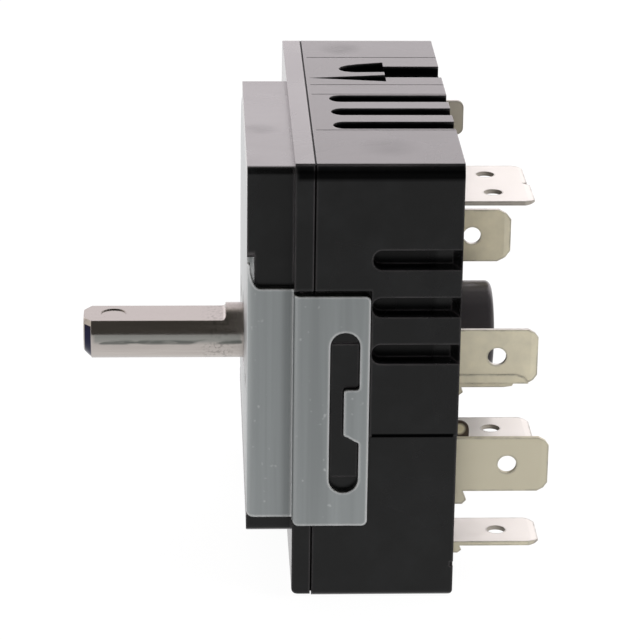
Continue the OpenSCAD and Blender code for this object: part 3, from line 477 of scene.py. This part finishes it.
def shaft_detail(f):
    """A greyer flat, a dark bluish chamfer, scuffs where the flat runs out, and a grey strip of
    painted shade with a dark streaky line along the near side."""
    f.over(f.facing("Z"), FLAT)
    chamfer = (TIP_X - TIP_CHAMFER, TIP_X)
    # Dark bluish colour on the lower part of the tip's chamfer
    f.over(f.box(chamfer, (-SHAFT_SIDE, SHAFT_SIDE), (-2.4, 1.5), 0.08), CHAMFER_DARK_BLUE)
    scuffs = f.times(f.between("X", -5, -0.5, 1.5), f.remap(f.noise(2600, 3), 0.5, 0.62, 0, 0.4))
    f.over(scuffs, SCUFF)
    near_side = ((TIP_X, 0), (-SHAFT_SIDE, 0))
    # Painted shade: a grey strip along the near side
    f.over(f.share(f.box(*near_side, (-0.7, 0.9), 0.5), 0.8), GREY_SHADE_STRIP)
    grain = f.noise(1600, 4, stretch=(0.15, 1, 1), distortion=0.6)
    # A dark streaky line along the near side
    dark_streaks = f.remap(grain, 0.48, 0.58, 0, 0.8)
    f.over(f.times(f.box(*near_side, (-0.75, 0.05), 0.3), dark_streaks), DARK_STREAK)


def dull(name, colour, low, high):
    """A moulded or fired finish without metal."""
    f = Finish(name, colour, 0, (low + high) / 2)
    grain = f.noise(1200, 3)
    f.tint(f.spread(f.noise(250, 4), 0, 1), shade(colour, 0.9), colour)
    f.roughness(grain, low, high)
    f.soft_edges(0.1)
    f.bump(grain, 0.01)
    return f.material


MATERIALS = {
    "black_plastic": black_plastic(),
    "zinc_steel": zinc_steel(),
    "shaft_steel": metal("shaft_steel", NICKEL, 0.14, 0.24, 1500, (0.06, 1, 1), 0.003, shaft_detail),
    "spring_steel": metal("spring_steel", STEEL, 0.25, 0.4),
    "cam_plastic": dull("cam_plastic", CREAM, 0.4, 0.55),
    "bimetal": metal("bimetal", BIMETAL, 0.3, 0.42),
    "mica": dull("mica", MICA, 0.5, 0.7),
    "ceramic": dull("ceramic", CERAMIC, 0.45, 0.6),
    "brass_screw": metal("brass_screw", BRASS, 0.25, 0.4),
    "bronze_blade": metal("bronze_blade", BRONZE, 0.25, 0.38),
    "silver_contact": metal("silver_contact", SILVER, 0.3, 0.45),
    "tinned_tab": metal("tinned_tab", TIN, 0.32, 0.46, 500, more=tab_detail),
}


def dress_nodes():
    """Gives each CAD node the finish of its material slot."""
    for part in frame["record"]["subparts"]:
        obj = nodes[part["node"]]
        obj.data.materials.clear()
        obj.data.materials.append(MATERIALS[part["material_slot"]])


def push_coil():
    """The look of the push spring: as long as when the shaft is pushed in, so that it meets
    the end of its chamber in that pose and doesn't come out through the boss."""
    cad = nodes["push_spring"]
    joints = frame["record"]["behaviour"]["joints"]
    travel = next(j["range_m"][1] for j in joints if j["name"] == "shaft_push")
    mesh = cad.data.copy()
    xs = [v.co.x for v in mesh.vertices]
    share = 1 - travel / (max(xs) - min(xs))
    for v in mesh.vertices:
        v.co.x = min(xs) + (v.co.x - min(xs)) * share
    obj = bpy.data.objects.new("push_coil", mesh)
    bpy.context.collection.objects.link(obj)
    obj.matrix_world = cad.matrix_world.copy()
    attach(obj, "shaft")
    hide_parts("push_spring")


def camera_ray(tree):
    """1 where the camera looks straight at the background."""
    return add(tree, "ShaderNodeLightPath").outputs["Is Camera Ray"]


def white_to_camera(tree, level, white):
    """The level as it is, but plain white where the camera looks straight at it."""
    mix = add(tree, "ShaderNodeMix")
    mix.inputs["B"].default_value = white
    tree.links.new(level, mix.inputs["A"])
    tree.links.new(camera_ray(tree), mix.inputs["Factor"])
    return mix.outputs["Result"]


def seen_directly(tree):
    """1 where the camera, gloss or glass looks at the background."""
    path = add(tree, "ShaderNodeLightPath")
    seen = path.outputs["Is Camera Ray"]
    for name in ("Is Glossy Ray", "Is Transmission Ray"):
        seen = combine(tree, "MAXIMUM", seen, path.outputs[name])
    return seen


def direction_level(tree, vector, axis, fade, levels):
    """A brightness that goes smoothly from levels[0] to levels[1] along an axis."""
    value = part_of(tree, vector, axis)
    return map_range(tree, value, (*fade, *levels), interpolation_type="SMOOTHSTEP")


def floor():
    """A pale floor that keeps the switch's shadow and looks white to the camera."""
    at = (0, 0, cad_low.z - FLOOR_GAP * MM)
    bpy.ops.mesh.primitive_plane_add(size=FLOOR_SIZE, location=at)
    obj = bpy.context.object
    obj.name = "floor"
    mat = bpy.data.materials.new("floor_white")
    mat.use_nodes = True
    tree = mat.node_tree
    paint = tree.nodes["Principled BSDF"]
    paint.inputs["Base Color"].default_value = (FLOOR_GREY, FLOOR_GREY, FLOOR_GREY, 1)
    paint.inputs["Roughness"].default_value = 0.9
    glow = add(tree, "ShaderNodeEmission")
    place = add(tree, "ShaderNodeTexCoord").outputs["Object"]
    level = direction_level(tree, place, "Y", FLOOR_FADE, FLOOR_LEVELS)
    tree.links.new(white_to_camera(tree, level, FLOOR_WHITE), glow.inputs["Strength"])
    share = add(tree, "ShaderNodeMath", operation="MULTIPLY")
    share.inputs[1].default_value = FLOOR_GLOW
    tree.links.new(seen_directly(tree), share.inputs[0])
    mix = add(tree, "ShaderNodeMixShader")
    tree.links.new(share.outputs[0], mix.inputs[0])
    tree.links.new(paint.outputs[0], mix.inputs[1])
    tree.links.new(glow.outputs[0], mix.inputs[2])
    tree.links.new(mix.outputs[0], tree.nodes["Material Output"].inputs["Surface"])
    obj.data.materials.append(mat)


def world():
    """A soft room: bright behind the switch, dim overhead and on the camera's side."""
    made = bpy.data.worlds.new("studio")
    bpy.context.scene.world = made
    made.use_nodes = True
    tree = made.node_tree
    out = tree.nodes["Background"]
    direction = add(tree, "ShaderNodeTexCoord").outputs["Generated"]
    level = direction_level(tree, direction, "Y", ROOM_FADE, ROOM_LEVELS)
    for rise, strength in SIDE_GLOW:
        glow = direction_level(tree, direction, "X", rise, (0, strength))
        level = combine(tree, "MAXIMUM", level, glow)
    tree.links.new(white_to_camera(tree, level, ROOM_WHITE), out.inputs["Strength"])
    behind = direction_level(tree, direction, "Y", ROOM_FADE, (0, 1))
    tint = mix_colours(tree, behind, *ROOM_TINTS)
    tree.links.new(mix_colours(tree, camera_ray(tree), tint, WHITE), out.inputs["Color"])


def fill(name, at, size, level):
    """A soft lamp that lights surfaces without showing in their gloss; a level of 1
    lights as much as a white wall of that size."""
    data = bpy.data.lights.new(name, "AREA")
    data.shape = "RECTANGLE"
    data.size, data.size_y = size
    data.energy = level * math.pi * size[0] * size[1]
    obj = bpy.data.objects.new(name, data)
    bpy.context.collection.objects.link(obj)
    obj.location = at
    to_switch = (cad_low + cad_high) / 2 - obj.location
    obj.rotation_euler = to_switch.to_track_quat("-Z", "Y").to_euler()
    obj.visible_glossy = False


def camera():
    """The camera that stands where the photo's stood."""
    data = bpy.data.cameras.new("photo_camera")
    data.sensor_width = 36
    data.angle = math.radians(CAMERA_FOV)
    data.clip_start = 0.01
    obj = bpy.data.objects.new("photo_camera", data)
    bpy.context.collection.objects.link(obj)
    obj.location = CAMERA_AT
    obj.rotation_euler = [math.radians(a) for a in CAMERA_TURN]
    bpy.context.scene.camera = obj


dress_nodes()
push_coil()
floor()
world()
for lamp in FILLS:
    fill(*lamp)
camera()
bpy.context.scene.view_settings.view_transform = "Standard"
